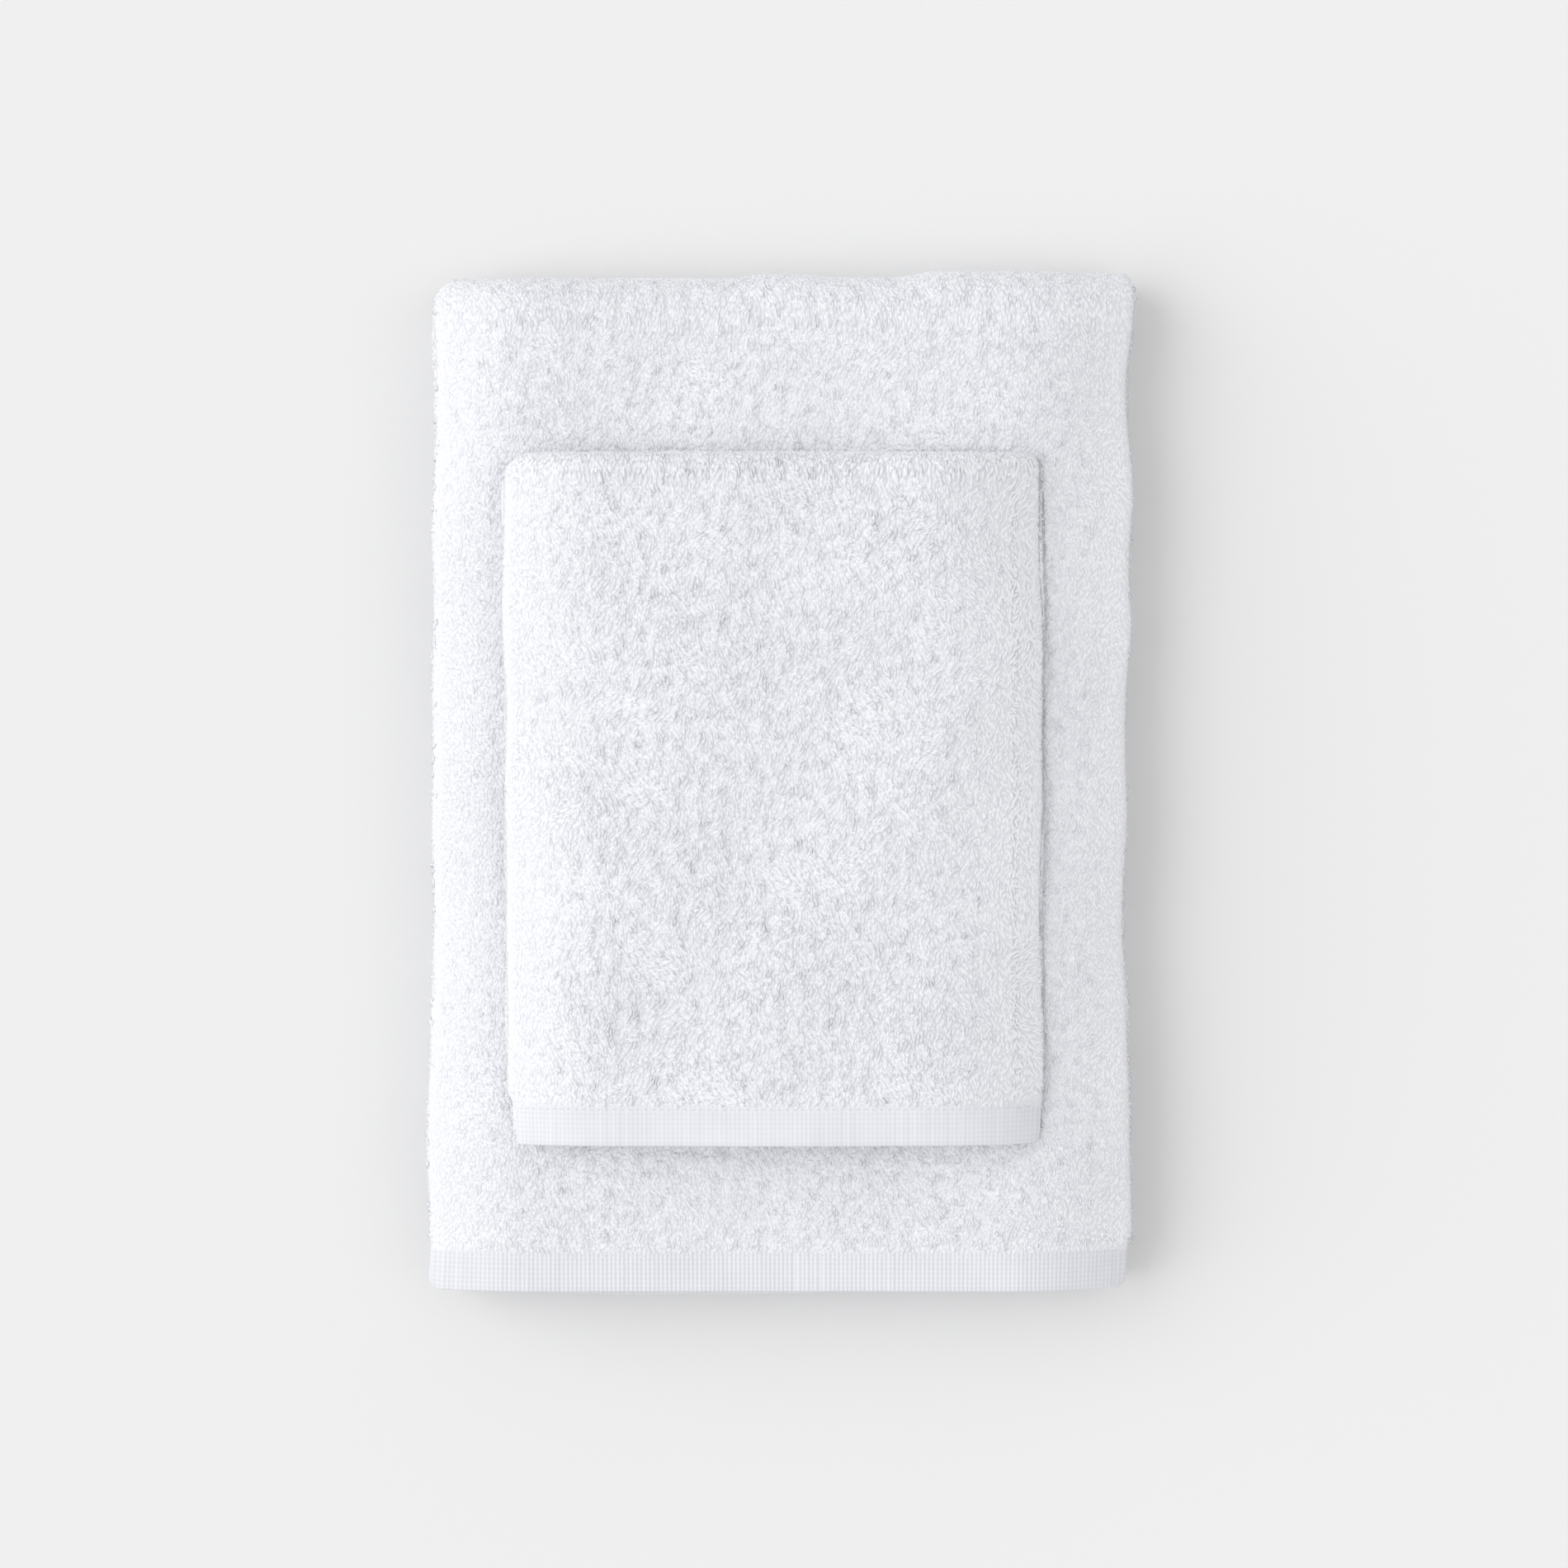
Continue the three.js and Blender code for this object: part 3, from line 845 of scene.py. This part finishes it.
def hem_face(v_low, v_high, fine_low, fine_high, creases):
    """HEM_HALF rounded off at the lip, plus RIB_HIGH times the sine of u where the ribs are modelled, less
    CREASE_DEEP times a bell curve about each crease."""
    base = edged(HEM_HALF, v_low, v_high)

    def height(u, v):
        modelled = ramp(u, fine_low, fine_low + RIB_FADE) * (1 - ramp(u, fine_high - RIB_FADE, fine_high))
        relief = RIB_HIGH * 0.5 * (1 + np.sin(2 * math.pi * u / RIB_PITCH))
        for crease in creases:
            relief = relief - CREASE_DEEP * np.exp(-(((u - crease) / CREASE_WIDE) ** 2))
        return base(u, v) + relief * modelled * (base(u, v) > HEM_HALF * 0.5)

    return height


def make_hem(name, towel, v_low, v_high, fine, rows, finish, creases=()):
    """One end hem across the whole width. fine is the u range whose ribs are modelled, and creases are the
    places in u where it was pressed."""
    step = RIB_PITCH / RIB_STEPS
    ends = (0, fine[0]), (fine[1], towel.u_joints[-1])
    left_out = [spaced(towel.u_joints, low, high, HEM_COARSE) for low, high in ends]
    us = np.unique(np.concatenate([*left_out, np.arange(fine[0], fine[1], step)]).round(7))
    lip = LIP * (1 - np.cos(np.linspace(0, math.pi / 2, LIP_POINTS)))
    middle = np.linspace(v_low + LIP, v_high - LIP, rows)
    vs = np.concatenate([v_low + lip[:-1], middle, v_high - lip[::-1][1:]])
    face = hem_face(v_low, v_high, *fine, creases)
    back = edged(HEM_HALF, v_low, v_high)
    return slab(name, towel, us, vs, lambda u, v: -back(u, v), face, finish)


bath_hem_fine = (right_0, left_1)
pressed = [right_1 + bath_right_x - crease for crease in CREASES]
bath_top_hem = make_hem("bath_top_hem_band", bath, 0, BATH_HEM, bath_hem_fine, 10, hem_weave, pressed)
bath_second_hem = make_hem(
    "bath_second_hem_band", bath, v_end - BATH_HEM, v_end, (right_0, right_0), 5, hem_weave
)


def stand_in(piece, body, node):
    """A piece that rides on one body and stands for one of its nodes."""
    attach(piece, body)
    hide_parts(node)


stand_in(bath_top_hem, "bath_top_layer", "bath_top_hem")
stand_in(bath_second_hem, "bath_towel", "bath_second_hem")

# The side hems: the long edges turned in, narrow and flat, all the way along the cloth.
SIDE_HALF = 0.00125
SIDE_POINTS = 13
SIDE_LEAST = 0.03  # share of the squared thickness that is left at its edges


def make_side_hem(name, towel, u_low, u_high, v_low, v_high):
    """A narrow band along one long edge. Its thickness is SIDE_HALF times the root of 1 less the sixth power
    of the distance from the middle of its width, like a flattened cord's."""
    us = u_low + (u_high - u_low) * (0.5 - 0.5 * np.cos(np.linspace(0, math.pi, SIDE_POINTS)))
    vs = spaced(towel.v_joints, v_low, v_high, FLAT_STEP / 2)

    def height(u, v):
        across = np.clip(2 * (u - u_low) / (u_high - u_low) - 1, -1, 1)
        return SIDE_HALF * np.maximum(1 - across**6, SIDE_LEAST) ** 0.5

    return slab(name, towel, us, vs, lambda u, v: -height(u, v), height, hem_weave)


def make_side_hems(kind, towel, edges, lower_panels, bend):
    """Both long edges of a towel, each in two pieces that meet where its top layer ends."""
    starts = {edges[0]: 0, edges[1]: towel.u_joints[-1] - SIDE_HEM}
    seam, end = towel.v_joints[1], towel.v_joints[-1] - BATH_HEM
    made = []
    for edge, u_low in starts.items():
        u_high = u_low + SIDE_HEM
        upper = make_side_hem(f"{kind}_top_{edge}_edge", towel, u_low, u_high, BATH_HEM, seam)
        bend(upper)
        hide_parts(f"{kind}_top_{edge}_side_hem")
        lower = make_side_hem(f"{kind}_{edge}_edge", towel, u_low, u_high, seam, end)
        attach(lower, f"{kind}_towel")
        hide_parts(*[f"{kind}_{panel}_{edge}_side_hem" for panel in lower_panels])
        made += [upper, lower]
    return made


bath_edges = ("inner", "outer")
bath_side_hems = make_side_hems("bath", bath, bath_edges, ("second", "third", "bottom"), bath_bend)

# The stitching: one row of lockstitches across each end hem, close to the pile.
STITCH_PITCH = 0.0028
STITCH_LONG = 0.0025
STITCH_HIGH = 0.0003
STITCH_WIDE = 0.00024
STITCH_IN = 0.0018  # from the hem's inner edge
STITCH_WANDER = 0.00008
STITCH_LEAN = 0.04
THREAD_LIGHT = (0.9, 0.905, 0.93)


def thread_finish():
    """Polished cotton thread with its ply showing as fine slanting grooves, with painted shade banded along
    the ply in step with its bump.
    """
    finish = Finish("stitch_thread")
    ply = finish.node(
        "ShaderNodeTexWave",
        {"bands_direction": "DIAGONAL"},
        {"Vector": finish.place(), "Scale": 900.0, "Distortion": 0.5},
    )
    fuzz = finish.noise(1500.0)
    # painted shade banded along the ply, in step with its bump, plus a little random mottle
    finish.set(Base_Color=finish.blend_colours(ply * 0.5 + fuzz * 0.3, THREAD_LIGHT, HEM_SHADE_AND_MOTTLE))
    finish.set(Roughness=0.55 + fuzz * 0.15, Specular_IOR_Level=0.35)
    finish.set(Normal=finish.bump(ply, 0.00006, 0.6))
    return finish.material


stitch_thread = thread_finish()


def make_stitches(name, towel, v_line):
    """Strands in one line along u."""
    u = np.arange(STITCH_PITCH, towel.u_joints[-1] - STITCH_PITCH, STITCH_PITCH)
    random = np.random.default_rng(sum(map(ord, name)))
    v = v_line + random.normal(0, STITCH_WANDER, len(u))
    lean = random.normal(0, STITCH_LEAN, len(u))
    laid = (lean, STITCH_LONG, STITCH_WIDE, STITCH_HIGH, 0.0, STITCH_HIGH, 0.0)
    return strands(name, towel, u, v, HEM_HALF, *laid, LOOP_RINGS, stitch_thread)


bath_top_stitches = make_stitches("bath_top_stitches", bath, BATH_HEM - STITCH_IN)
bath_second_stitches = make_stitches("bath_second_stitches", bath, v_end - BATH_HEM + STITCH_IN)
stand_in(bath_top_stitches, "bath_top_layer", "bath_top_hem_stitching")
stand_in(bath_second_stitches, "bath_towel", "bath_second_hem_stitching")

# ---------------------------------------------------------------- Hand towel's cloth
# The same terry, narrower and with longer loops. Both sides are folded under to the middle and the length
# is folded in thirds, with one end hem tucked inside, and it lies on the bath towel and follows its top.
hand_rear_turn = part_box("hand_rear_fold")[0][1]
hand_front_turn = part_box("hand_front_fold")[1][1]
hand_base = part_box("hand_bottom_panel")[0][2]
hand_top = hand_high[2]
hand_strip = hand_high[2] - hand_low[2]
hand_ply = (hand_strip - GAP) / 2
hand_half = (hand_high[0] - hand_low[0]) / 2
hand_middle = (hand_high[0] + hand_low[0]) / 2
hand_side_turn = (hand_ply + GAP) / 2
hand_turn_x = hand_half - hand_strip / 2
hand_big_turn = (hand_low[2] - hand_base) / 2
hand_small_turn = (hand_strip + GAP) / 2
hand_tucked_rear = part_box("hand_tucked_hem")[1][1]

hand_section = bent_line(
    (hand_middle - GAP, -hand_side_turn),
    math.pi,
    [
        (hand_turn_x - GAP, 0),
        (math.pi * hand_side_turn, -math.pi),
        (2 * hand_turn_x, 0),
        (math.pi * hand_side_turn, -math.pi),
        (hand_turn_x - GAP, 0),
    ],
)
hand_course = bent_line(
    (hand_front, hand_top - hand_strip / 2),
    0,
    [
        (hand_rear_turn - hand_front, 0),
        (math.pi * hand_big_turn, -math.pi),
        (hand_rear_turn - hand_front_turn, 0),
        (math.pi * hand_small_turn, -math.pi),
        (hand_tucked_rear - hand_front_turn, 0),
    ],
)

HAND_CROWN = 0.05
HAND_SHOULDERS = (0.42, 0.040), (0.80, 0.046)
HAND_PRESS = 0.0005  # how gently its sides are pressed on to the bath towel
HAND_TUCK = 0.0014, 0.013  # how much further its right edge sinks in, and over what width
HAND_FRONT_DROP = 0.10
HAND_SWELL = 1.3  # its top wanders this many times as much as the bath towel's
HAND_SINK = 0.0006  # how far the two piles press into each other
HAND_SPREAD = 0.0006, 0.0006  # how far the lowest layer lies out beyond the top one, left and right
HAND_CORNERS = (-1, 1, 0.010), (1, 1, 0.006), (-1, -1, 0.005), (1, -1, 0.004)
# How far out of true its two sides lie, from the hem to the rear
HAND_ALONG = np.array([-0.129, -0.114, -0.110, 0.0, 0.119])
HAND_LEFT_OUT = np.array([-3.6, -3.4, -0.6, 0.6, 0.9]) / 1000
HAND_RIGHT_OUT = np.array([-1.6, -1.6, -0.6, -0.3, -0.6]) / 1000
hand_edge_ripple = ripples(31, 0.05, 0.13)
hand_top_ripple = ripples(32, 0.04, 0.11)


def hand_settle(x, y, z, v):
    """Heights above the bath towel's top are scaled like the bath towel's own, with wider shoulders, and
    then added to that top as it lies. What would sink into that top is pressed thin on it instead: heights
    become HAND_PRESS times the log of 1 plus the exponential of the height over HAND_PRESS."""
    across = x - hand_middle
    out = np.clip(np.abs(across) / hand_half, 0, 1.1)
    sides = [np.interp(y, HAND_ALONG, side) for side in (HAND_LEFT_OUT, HAND_RIGHT_OUT)]
    side = np.where(across < 0, *sides)
    wander = EDGE_WANDER * hand_edge_ripple(v, np.where(across > 0, 1.0, 0.0))
    crown = HAND_CROWN * (1 - np.clip(out, 0, 1) ** 2)
    drop = HAND_FRONT_DROP * np.clip((hand_front - y) / FRONT_DROP_LENGTH + 1, 0, 1) ** 2
    share = 1 + crown - shoulder_drop(x, hand_middle, hand_half, HAND_SHOULDERS) - drop
    up = np.clip((z - hand_base) / (hand_top - hand_base), 0, 1)
    side = side + np.where(across < 0, *HAND_SPREAD) * (1 - up)
    swell = SURFACE_WANDER * HAND_SWELL * hand_top_ripple(x, y) * up
    under = bath_top * bath_height_share(x, y) + SURFACE_WANDER * bath_top_ripple(x, y)
    tuck = HAND_TUCK[0] * ramp(across, hand_half - HAND_TUCK[1], hand_half)
    above = (z - hand_base) * share + swell - HAND_SINK - tuck + (hand_base - bath_top)
    x = x + np.sign(across) * (side + wander) * out**SIDE_POWER
    y = squared(y, hand_rear_turn, hand_rear)
    x, y = rounded(x, y, hand_low[0], hand_high[0], hand_front, hand_rear, HAND_CORNERS)
    above = HAND_PRESS * np.logaddexp(0, above / HAND_PRESS)
    return x, y, under + above


hand = Towel(hand_section, hand_course, 1, hand_settle)
hand_length = hand.v_joints[-1]
hand_seam = hand.v_joints[1]
hand_top_cloth = make_cloth("hand_top_cloth", hand, HEM_UNDER, hand_seam)
hand_cloth = make_cloth("hand_cloth", hand, hand_seam, hand_length - HEM_UNDER)


def hand_bend(piece):
    bend_open(piece)


hand_bend(hand_top_cloth)
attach(hand_cloth, "hand_towel")
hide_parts("hand_top_panel")
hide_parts("hand_middle_panel", "hand_bottom_panel", "hand_rear_fold", "hand_front_fold")

# ---------------------------------------------------------------- Hand towel's pile
# Longer and looser loops than the bath towel's, in stronger swirls.
_, hl_0, hl_1, hr_0, hr_1, hand_u_end = hand.u_joints
hand_pile = Pile(hand, 41, (hl_1, hr_0), long=0.0036, wide=0.00054, crest=0.00076, swirl=0.6, fuzz=0.0)
HAND_SEEN = 41  # loops to a square centimetre
HAND_TOP_DENSER = 1, 1.4, 1.4  # on the face, the left side and the right side
HAND_REAR_STRETCH = 1.38
HAND_REAR_DENSER = HAND_REAR_STRETCH, 1.7, 1.7
HAND_FRONT_STRETCH = 1.6
HAND_FRONT_DENSER = 1.5, 1.7, 1.7
HAND_LOWER_DENSER = 1.4, 1.4  # left, right

hand_left = (hl_0, hl_1)
hand_face = (hl_1, hr_0)
hand_right = (hr_0, hr_1)
hand_flaps = [(SIDE_HEM, hl_0), (hr_1, hand_u_end - SIDE_HEM)]
_, hv_rear_0, hv_rear_1, hv_front_0, hv_front_1, hv_end = hand.v_joints

hand_parts = (hand_face, hand_left, hand_right)
hand_top_pile = []
hand_halves = np.linspace(BATH_HEM, hand_seam, 3)
for number, length in enumerate(zip(hand_halves[:-1], hand_halves[1:])):
    zones = zones_of(hand_parts, [length], HAND_SEEN, HAND_TOP_DENSER)
    hand_top_pile.append(hand_pile.grow(f"hand_top_pile_{number + 1}", zones))
hand_top_pile.append(
    hand_pile.grow(
        "hand_top_pile_back", [(flap, (BATH_HEM, hand_seam), PLY_BACK) for flap in hand_flaps], PLAIN_RINGS
    )
)
for piece in hand_top_pile:
    hand_bend(piece)

hand_rear_zones = zones_of(hand_parts, [(hv_rear_0, hv_rear_1)], HAND_SEEN, HAND_REAR_DENSER)
hand_rear_pile = hand_pile.grow("hand_rear_pile", hand_rear_zones, stretch=HAND_REAR_STRETCH)
hand_front_zones = zones_of(hand_parts, [(hv_front_0, hv_front_1)], HAND_SEEN, HAND_FRONT_DENSER)
hand_front_pile = hand_pile.grow("hand_front_pile", hand_front_zones, stretch=HAND_FRONT_STRETCH)
hand_lower_layers = [(hv_rear_1, hv_front_0), (hv_front_1, hv_end - BATH_HEM)]
hand_side_zones = zones_of((hand_left, hand_right), hand_lower_layers, HAND_SEEN, HAND_LOWER_DENSER)
hand_side_pile = hand_pile.grow("hand_side_pile", hand_side_zones)
hand_middle_pile = hand_pile.grow(
    "hand_middle_pile", [(hand_face, (hv_front_1, hv_end - BATH_HEM), PLY_BACK)], PLAIN_RINGS
)
hand_under_pile = hand_pile.grow(
    "hand_under_pile", [(hand_face, (hv_rear_1, hv_front_0), UNDERSIDE)], PLAIN_RINGS
)
hand_lower_pile = [hand_rear_pile, hand_front_pile, hand_side_pile, hand_middle_pile, hand_under_pile]
for piece in hand_lower_pile:
    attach(piece, "hand_towel")

# ---------------------------------------------------------------- Hand towel's hems
# Made as the bath towel's are, in a flatter weave, with the ribs only in the finish. The top one shows at
# the front and the other is tucked in at the rear.
FINE_RIB_PITCH = 0.00158
FINE_PICK_PITCH = 0.00170
FINE_RELIEF = 0.00010
fine_weave = hem_weave_finish("fine_hem_weave", FINE_RIB_PITCH, FINE_PICK_PITCH, FINE_RELIEF)
hand_top_hem = make_hem("hand_top_hem_band", hand, 0, BATH_HEM, (hl_0, hl_0), 8, fine_weave)
hand_tucked_hem = make_hem(
    "hand_tucked_hem_band", hand, hv_end - BATH_HEM, hv_end, (hl_0, hl_0), 5, fine_weave
)
stand_in(hand_top_hem, "hand_top_layer", "hand_top_hem")
stand_in(hand_tucked_hem, "hand_towel", "hand_tucked_hem")

hand_side_hems = make_side_hems("hand", hand, ("left", "right"), ("middle", "bottom"), hand_bend)

hand_top_stitches = make_stitches("hand_top_stitches", hand, BATH_HEM - STITCH_IN)
hand_tucked_stitches = make_stitches("hand_tucked_stitches", hand, hv_end - BATH_HEM + STITCH_IN)
stand_in(hand_top_stitches, "hand_top_layer", "hand_top_hem_stitching")
stand_in(hand_tucked_stitches, "hand_towel", "hand_tucked_hem_stitching")
